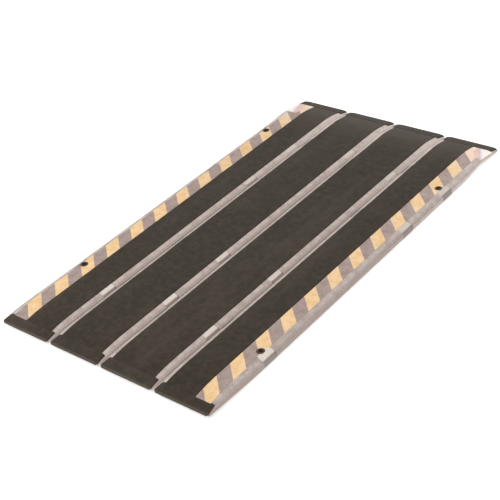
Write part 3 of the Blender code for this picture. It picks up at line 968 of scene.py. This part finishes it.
def makeTapeFinish(panel):
    f = Finish(f"hazard_stripes_{panel}", tape["yellow"])
    outer = abs(panelCenter(panel)) + flatHalf - tape["margin"]
    reference = outerSide(panel) * (outer - tape["width"] + tape["slantFrom"])
    ragged = f.noise(*tape["ragged"]) * tape["raggedBy"]
    across = (f.x - reference) * tape["slant"][panel]
    run = f.y + ramp["length"] / 2 + across + ragged - tape["firstYellow"][panel]
    turn = abs((run / tape["period"]).wrapped(-0.5, 0.5))
    yellow = 1 - turn.step(*tape["yellowHalf"])
    mottle = f.noise(*tape["mottle"])
    fineDirt = f.noise(*tape["fineDirt"])
    warm = f.mix(mottle.step(0.36, 0.68), tape["yellow"], tape["yellowDeep"])
    warm = f.mix(f.y.step(*tape["peachY"]) * 0.85, warm, tape["peach"])
    warm = f.mix(f.y.step(*tape["dullY"]) * tape["dull"][panel], warm, tape["greyDeep"])
    cool = f.mix(mottle.step(0.36, 0.68), tape["grey"], tape["greyDeep"])
    color = f.mix(yellow, cool, warm)
    color = f.mix(f.y.step(*tape["endY"]), color, tape["peach"])
    color = f.mix(fineDirt.step(0.58, 0.76) * 0.3, color, tape["greyDeep"])
    for station in tape["baredAt"].get(panel, ()):
        beside = abs(f.y - alongY(stations[station])).step(*tape["baredReach"])
        bare = (abs(f.x) - (outer - tape["baredWidth"])).isOver() * (1 - beside)
        color = f.mix(bare, color, tape["bared"])
    for x, y in holeCenters(panel):
        away = ((f.x - x) ** 2 + (f.y - y) ** 2) ** 0.5 + (mottle - 0.5) * tape["dirtRagged"]
        color = f.mix((1 - away.step(*tape["dirtReach"])) * 0.9, color, tape["holeDirt"])
    height = f.cells(tape["grainScale"]) * 0.6 + mottle
    rough = 0.42 + mottle * 0.2 + fineDirt.step(0.5, 0.8) * 0.12
    return f.set(color=color, roughness=rough, normal=f.bump(height, 0.25, 0.0004), specular=0.5)


def makeTape(panel):
    ringOf = sheetRing(panel, tapeLimits(panel), tape["columns"], tape["thickness"], tape["ridgeShare"])
    places, finish, angle = betweenStrips(panel), makeTapeFinish(panel), meshing["sheetAngle"]
    band = lofted(panel, "hazard_tape", ringOf, places, finish, angle)
    cutAway([band], [holeCutter(panel)], angle)
    place(band, panel, "hazard_tape", "edge_tape")


for panel in outerPanels:
    makeTape(panel)
print("tapes made")


# Bare pale patches at the far end of the tapes, from the tape's outer part down over the chamfer

patch = {
    "start": {1: 1.306, 4: 1.313},
    "end": {1: 1.38, 4: 1.3833},
    "cornerRadius": 0.003,
    "columns": 24,
    "lift": 0.00045,
    "liftSoft": 0.004,  # how far past the crease the lift falls to its lost share
    "liftLost": 0.8,
    "thickness": 0.00025,
    "inner": 0.327,
    "outer": 0.3766,
    "bandAt": 1.35,  # the distance along the ramp at which bandMiddle gives the pink band's x
    "bandMiddle": {1: -0.35, 4: 0.349},
    "bandSlant": {1: 0.36, 4: 0.587},
    "bandHalf": 0.0055,
    "bandRagged": 0.006,
    "cloud": (48, 3, 0.55),
    "grain": (600, 2, 0.6),
    "paper": rgb(225, 220, 209),
    "lilac": rgb(212, 200, 205),
    "blush": rgb(198, 168, 171),
    "faded": rgb(218, 190, 167),
    "rubbed": rgb(203, 170, 152),
}


# Faded sheet inside a slanting pink band, bare pale paper outside it
def makePatchFinish(panel):
    f = Finish(f"bare_pale_label_{panel}", patch["paper"])
    cloud = f.noise(*patch["cloud"])
    slanted = f.x + (f.y + ramp["length"] / 2 - patch["bandAt"]) * patch["bandSlant"][panel]
    out = (slanted - patch["bandMiddle"][panel]) * outerSide(panel) + (cloud - 0.5) * patch["bandRagged"]
    half = patch["bandHalf"]
    color = f.mix(out.step(-half * 4.5, -half * 2.8) * 0.8, patch["faded"], patch["rubbed"])
    color = f.mix(out.step(-half * 1.5, -half * 0.3), color, patch["blush"])
    color = f.mix(out.step(half * 0.2, half * 1.6), color, patch["lilac"])
    color = f.mix(out.step(half * 1.2, half * 3.0), color, patch["paper"])
    height = f.noise(*patch["grain"]) + cloud
    return f.set(color=color, roughness=0.4 + cloud * 0.2, normal=f.bump(height, 0.15, 0.0004), coat=0.1)


def makePatch(panel):
    side = outerSide(panel)
    inner = patch["inner"] - abs(panelCenter(panel))
    reach = patch["outer"] - patch["inner"]

    def ringOf(cut):
        fromEnd = min(cut.distance - patch["start"][panel], patch["end"][panel] - cut.distance)
        corner = drawnIn(patch["cornerRadius"], fromEnd)
        under, over = [], []
        for column in range(patch["columns"] + 1):
            x = inner + corner + (reach - 2 * corner) * column / patch["columns"]
            lost = softStep((x - cut.flat) / patch["liftSoft"]) * patch["liftLost"]
            floor = cut.chamfer(x) + ramp["fitGap"] + patch["lift"] * (1 - lost)
            under.append((side * x, floor))
            over.append((side * x, floor + patch["thickness"]))
        return under + over[::-1]

    places = sheetPlaces(patch["start"][panel], patch["end"][panel])
    label = lofted(panel, "blank_label", ringOf, places, makePatchFinish(panel))
    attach(label, f"panel_{panel}")


for panel in outerPanels:
    makePatch(panel)
print("blank labels made")


# Black end strips, over the lip and part of the way down the chamfers

endStrip = {
    "thickness": 0.0015,
    "sideInset": 0.0075,
    "widening": 0.005,  # how much nearer to the sides it comes at the tip
    "lip": 0.0017,
    "grit": rgb(64, 55, 46),
    "gritDark": rgb(48, 41, 34),
    "gritGlint": rgb(100, 91, 78),
    "gritScale": 560,
    "worn": rgb(94, 86, 75),
    # darker towards the far end
    "far": rgb(44, 37, 30),
    "edgeRound": 0.0006,
    "creaseRound": 0.006,
    "roundMiddle": (0.3, 0.35),  # shares of the edge's round at its middle point: down, and back
}
stripFinish = makeGritFinish("moulded_end_rubber", endStrip)


def stripRing(cut, lowLimit=None, sink=0.0):
    rise = ramp["fitGap"] + endStrip["thickness"] - sink
    soft = endStrip["edgeRound"]
    middle = endStrip["roundMiddle"][0] * soft
    fromTip = min(cut.distance, ramp["length"] - cut.distance)
    w = cut.width - endStrip["sideInset"] + endStrip["widening"] * (1 - fromTip / tread["stripLength"])
    edge = cut.chamfer(w)
    under = bothSides([(-w, edge), (-cut.flat, cut.top)])
    lower = [(x, z + ramp["fitGap"] if lowLimit is None else lowLimit) for x, z in under]
    return lower + pairs(roundedPath(bothSides([
        (w, edge + rise - soft),
        (w - middle, edge + rise - middle),
        (w - soft, edge + rise),
        (cut.flat, cut.top + rise, endStrip["creaseRound"], 3),
    ])))


def makeEndStrip(panel, end):
    def spot(back):
        return back if end == "ground" else ramp["length"] - back

    tipStart, lip, soft = profile["tipStart"], endStrip["lip"], endStrip["edgeRound"]
    down, inward = endStrip["roundMiddle"]
    length = stripLength(panel, end == "ground")
    tip = Section(spot(tipStart))
    rings = [
        (spot(0.0), stripRing(tip, tip.under, soft)),
        (spot(soft * inward), stripRing(tip, tip.under, soft * down)),
        (spot(soft), stripRing(tip, tip.under)),
        (spot(lip), stripRing(tip, tip.under)),
        (spot(lip), stripRing(tip)),
    ]
    for back in placesAlong(tipStart, length)[:-1] + [length - soft]:
        rings.append((spot(back), stripRing(Section(spot(back)))))
    rings.append((spot(length), stripRing(Section(spot(length)), None, soft)))
    piece = loft(f"panel_{panel}_{end}_end_strip", rings, panelCenter(panel), stripFinish)
    place(piece, panel, "black_rubber", f"{end}_strip")


for panel in everyPanel:
    makeEndStrip(panel, "ground")
    makeEndStrip(panel, "step")
print("end strips made")


# Webbing

webbing = {
    "light": rgb(240, 230, 220),
    "shade": rgb(188, 177, 168),
    # dirt and painted shade where the straps turn down
    "grimeAndShade": rgb(152, 138, 130),
    # the same dirt and painted shade, darker, on the edge straps
    "edgeGrimeAndShade": rgb(139, 127, 121),
    # painted shade for the straps on left-facing chamfers
    "turnedAwayShade": rgb(150, 140, 133),
    # darker grey, all over panel 1's edge straps
    "darkerGrey": rgb(128, 118, 110),
    "pickPitch": 0.0016,
    "ribPitch": 0.0024,
    "fuzz": (900, 3, 0.6),
    "grime": (40, 4, 0.6),
    "shadeY": (-0.65, 0.26),
    "grimeAndShadeZ": (0.0195, 0.024),
    "fadeY": (0.1, 0.5),
    "pathSteps": 3,
    "bendSpacing": 0.0012,
    "bendReach": 0.01,
    "runSpacing": 0.02,
    "edgeSteps": 4,
    "flatSteps": 8,
    "splitHeight": 0.0121,
    "upperHold": (0.0068, 0.02),  # a point for each half, on its side of the gap: out from the gap's middle, and z
    "lowerHold": (0.0037, 0.0043),
}


def makeWebbingFinish(name, grimeAndShadeColor, darkShare, farFade, darkColor=webbing["turnedAwayShade"]):
    f = Finish(name, webbing["light"])
    u, v = f.axes(f.node("UVMap", {"uv_map": "weave"}, {}), "XY")
    rows = v / webbing["ribPitch"]
    picks = ((u / webbing["pickPitch"] + rows.floored() * 0.5) * (2 * math.pi)).swing()
    ribs = abs(rows.wrapped(-0.5, 0.5))
    weave = picks * (1 - ribs * 1.2)
    fuzz, grime = f.noise(*webbing["fuzz"]), f.noise(*webbing["grime"])
    color = f.mix(weave.step(-0.6, 0.7), webbing["shade"], webbing["light"])
    color = f.mix(grime.step(0.52, 0.75) * 0.4, color, webbing["shade"])
    color = f.mix(f.y.step(*webbing["shadeY"]) * 0.62, color, webbing["shade"])
    color = f.mix(darkShare, color, darkColor)
    # Dirt and painted shade: darker low down, where a strap turns down into a gap or over a side; on the
    # joint straps less of it towards the far end
    grimeAndShade = (1 - f.z.step(*webbing["grimeAndShadeZ"])) * (1 - f.y.step(*webbing["fadeY"]) * farFade)
    color = f.mix(grimeAndShade, color, grimeAndShadeColor)
    normal = f.bump(weave * 0.7 + fuzz * 0.4, 0.6, 0.0005)
    return f.set(color=color, roughness=0.82, normal=normal, sheen=0.25, sheenRoughness=0.4)


webbingFinish = makeWebbingFinish("polyester_webbing", webbing["grimeAndShade"], darkShare=0.0, farFade=1.0)
# Painted shade: the straps lying over a right-hand panel's left-facing chamfer are darker all over
shadedWebbingFinish = makeWebbingFinish("shaded_polyester_webbing", webbing["grimeAndShade"], darkShare=0.8, farFade=0.7)
edgeFinishes = {
    1: makeWebbingFinish("darker_edge_webbing", webbing["edgeGrimeAndShade"], darkShare=0.95, farFade=0.0,
                         darkColor=webbing["darkerGrey"]),
    4: makeWebbingFinish("grimy_shaded_edge_webbing", webbing["edgeGrimeAndShade"], darkShare=0.0, farFade=0.0),
}


# Divides the long runs of a path, and more finely near the gap so that it can bend there
def subdivided(path, spacing, reach):
    found = [path[0]]
    for start, end in zip(path, path[1:]):
        near = min(abs(start.x), abs(end.x)) < reach
        parts = max(1, math.ceil((end - start).length / (spacing if near else webbing["runSpacing"])))
        found += [start + (end - start) * part / parts for part in range(1, parts + 1)]
    return found


def webbingBand(name, path, station, finish):
    half, thick = strap["width"] / 2, strap["thickness"] / 2
    flat, steps = half - thick, webbing["flatSteps"]
    around = []
    for at in range(webbing["edgeSteps"] + 1):
        angle = math.pi * (at / webbing["edgeSteps"] - 0.5)
        around.append((flat + thick * math.cos(angle), thick * math.sin(angle)))
    flatPlaces = [flat - 2 * flat * at / steps for at in range(1, steps)]
    ring = around + [(w, thick) for w in flatPlaces]
    ring += [(-w, -t) for w, t in around] + [(-w, -thick) for w in flatPlaces]
    data = bmesh.new()
    weave = data.loops.layers.uv.new("weave")
    run, loops, lengths = 0.0, [], []
    for at, (point, normal) in enumerate(zip(path, pathNormals(path))):
        run += (point - path[at - 1]).length if at else 0.0
        lengths.append(run)
        loops.append([])
        for w, t in ring:
            spot = point + normal * t
            loops[-1].append(data.verts.new((spot.x, alongY(stations[station]) + w, spot.y)))
    for row, (first, second) in enumerate(zip(loops, loops[1:])):
        for at, face in enumerate(bridge(data, first, second)):
            after = (at + 1) % len(ring)
            spots = ((row, at), (row, after), (row + 1, after), (row + 1, at))
            for corner, (line, column) in zip(face.loops, spots):
                corner[weave].uv = (lengths[line], ring[column][0])
    closeEnds(data, loops[0], loops[-1])
    return newPiece(name, data, finish, meshing["webbingAngle"])


# The strap's route is split where it crosses the middle of the gap, into two halves
def makeJointStrap(joint, station, side):
    middle = gapCenter(joint)
    y = alongY(stations[station])
    path = subdivided(crossingPath(webbing["pathSteps"]), webbing["bendSpacing"], webbing["bendReach"])
    split = min(range(len(path)), key=lambda at: abs(path[at].y - webbing["splitHeight"]))
    turnedPath = [Vector((middle + side * p.x, p.y)) for p in path]
    over, under = (joint, joint + 1) if side > 0 else (joint + 1, joint)
    (highOut, highZ), (lowOut, lowZ) = webbing["upperHold"], webbing["lowerHold"]
    high = (middle - side * highOut, y, highZ)
    low = (middle + side * lowOut, y, lowZ)
    finish = webbingFinish if side > 0 else shadedWebbingFinish
    halves = (("over", turnedPath[:split + 1], over, high), ("under", turnedPath[split:], under, low))
    for part, points, body, far in halves:
        half = webbingBand(f"joint_{joint}_webbing_{station}_{part}", points, station, finish)
        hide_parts(f"joint_{joint}_strap_{station}")
        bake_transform(half)
        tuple(far)


for joint, layers in ramp["straps"].items():
    for side, names in zip((1, -1), layers):
        for station in names:
            makeJointStrap(joint, station, side)


def makeEdgeStrap(panel, station):
    side = outerSide(panel)
    edge = panelCenter(panel) + side * halfWidth
    route = subdivided(wrapPath(webbing["pathSteps"], strap["edgeSlack"]), webbing["runSpacing"], 0)
    path = [Vector((edge + side * p.x, p.y)) for p in route]
    band = webbingBand(f"panel_{panel}_edge_webbing_{station}", path, station, edgeFinishes[panel])
    if station in ramp["holes"][panel]:
        cutAway([band], [holeCutter(panel)], meshing["webbingAngle"])
    place(band, panel, "webbing", f"edge_strap_{station}")


for panel, names in ramp["edgeStraps"].items():
    for station in names:
        makeEdgeStrap(panel, station)
print("webbing made")


# Flanged plastic sleeves in the anchor holes

sleeveLook = {
    "black": rgb(48, 32, 23),
    # painted light in the shaded bore
    "bore": rgb(92, 64, 48),
    "rubbed": rgb(84, 70, 58),
    "grain": (800, 3, 0.6),
    "rub": (120, 3, 0.6),
    "rubbedZ": (0.0293, 0.0299),
    "rimZ": (0.0262, 0.029),  # black from here up; down the bore a lighter brown, painted light in the bore's shade
}


def makeSleeveFinish():
    f = Finish("black_sleeve_plastic", sleeveLook["black"])
    grain = f.noise(*sleeveLook["grain"])
    rub = f.noise(*sleeveLook["rub"]).step(0.55, 0.75) * f.z.step(*sleeveLook["rubbedZ"])
    # Painted light: down the shaded bore the colour is a lighter brown than the black rim
    color = f.mix(f.z.step(*sleeveLook["rimZ"]), sleeveLook["bore"], sleeveLook["black"])
    color = f.mix(rub * 0.6, color, sleeveLook["rubbed"])
    return f.set(color=color, roughness=0.38 + grain * 0.2, normal=f.bump(grain, 0.2, 0.0003))


sleeveFinish = makeSleeveFinish()


def makeSleeve(panel, station, center):
    bore, body, flange = (bushing[key] / 2 for key in ("bore", "body", "flange"))
    seat = ramp["thickness"] + 2 * ramp["fitGap"] + tape["thickness"]
    top = seat + bushing["flangeHeight"]
    low = strap["floorClearance"]
    soft, steps = bushing["flangeHeight"] / 2, bushing["rimSteps"]
    outline = [(bore, low), (body, low), (body, seat), (flange, seat)]
    for quarter, middle in ((0, flange - soft), (1, bore + soft)):
        for at in range(steps + 1):
            angle = math.pi / 2 * (quarter + at / steps)
            outline.append((middle + soft * math.cos(angle), top - soft + soft * math.sin(angle)))
    name = f"panel_{panel}_hole_sleeve_{station}"
    sleeve = turned(name, outline, center, bushing["sides"], sleeveFinish)
    place(sleeve, panel, "black_plastic", f"anchor_bush_{station}")


for panel, names in ramp["holes"].items():
    for station, center in zip(names, holeCenters(panel)):
        makeSleeve(panel, station, center)
print("sleeves made")


# Floor, light and camera

studio = {
    "floor": (0.9, 0.9, 0.895),
    "floorSize": 60,
    "floorDrop": 0.0006,
    "floorGlow": 0.4,
    "sky": 0.62,
    "lights": {
        "key": ((-1.4, -1.2, 2.6), 3.0, 62),
        "fill": ((2.6, -1.8, 2.2), 3.2, 30),
        "back": ((-0.2, 3.2, 2.2), 2.6, 50),
    },
}


def makeFloor():
    f = Finish("studio_floor", studio["floor"])
    glow = {"glow": (1, 1, 1), "glowStrength": studio["floorGlow"]}
    f.set(color=studio["floor"], roughness=0.9, specular=0.0, **glow)
    data = bmesh.new()
    size = studio["floorSize"] / 2
    corners = ((-size, -size), (size, -size), (size, size), (-size, size))
    data.faces.new([data.verts.new((x, y, -studio["floorDrop"])) for x, y in corners])
    floor = newPiece("studio_floor", data, f.material)


def makeLights():
    world = bpy.data.worlds.new("studio_sky")
    bpy.context.scene.world = world
    world.use_nodes = True
    sky = world.node_tree.nodes["Background"]
    sky.inputs["Color"].default_value = (1, 1, 1, 1)
    sky.inputs["Strength"].default_value = studio["sky"]
    for name, (spot, size, power) in studio["lights"].items():
        lamp = bpy.data.lights.new(name + "_light", "AREA")
        lamp.shape = "SQUARE"
        lamp.size = size
        lamp.energy = power
        holder = newObject(name + "_light", lamp)
        holder.location = spot
        holder.rotation_euler = (-Vector(spot)).to_track_quat("-Z", "Y").to_euler()


def makeCamera():
    view = {
        "place": (1.982, -2.171, 1.946),
        "right": (0.7768, 0.6168, -0.127),
        "up": (-0.2704, 0.5088, 0.8173),
        "back": (0.5688, -0.6006, 0.562),
        "lens": 85.97,
        "sensor": 36,
        "farthest": 50,
    }
    lens = bpy.data.cameras.new("photo_camera")
    lens.lens = view["lens"]
    lens.sensor_width = view["sensor"]
    lens.clip_end = view["farthest"]
    camera = newObject("photo_camera", lens)
    turn = Matrix([view["right"], view["up"], view["back"]]).transposed().to_quaternion().to_matrix()
    camera.matrix_world = Matrix.Translation(view["place"]) @ turn.to_4x4()
    bpy.context.scene.camera = camera


makeFloor()
makeLights()
makeCamera()
bpy.context.scene.view_settings.view_transform = "Standard"
print("studio made")
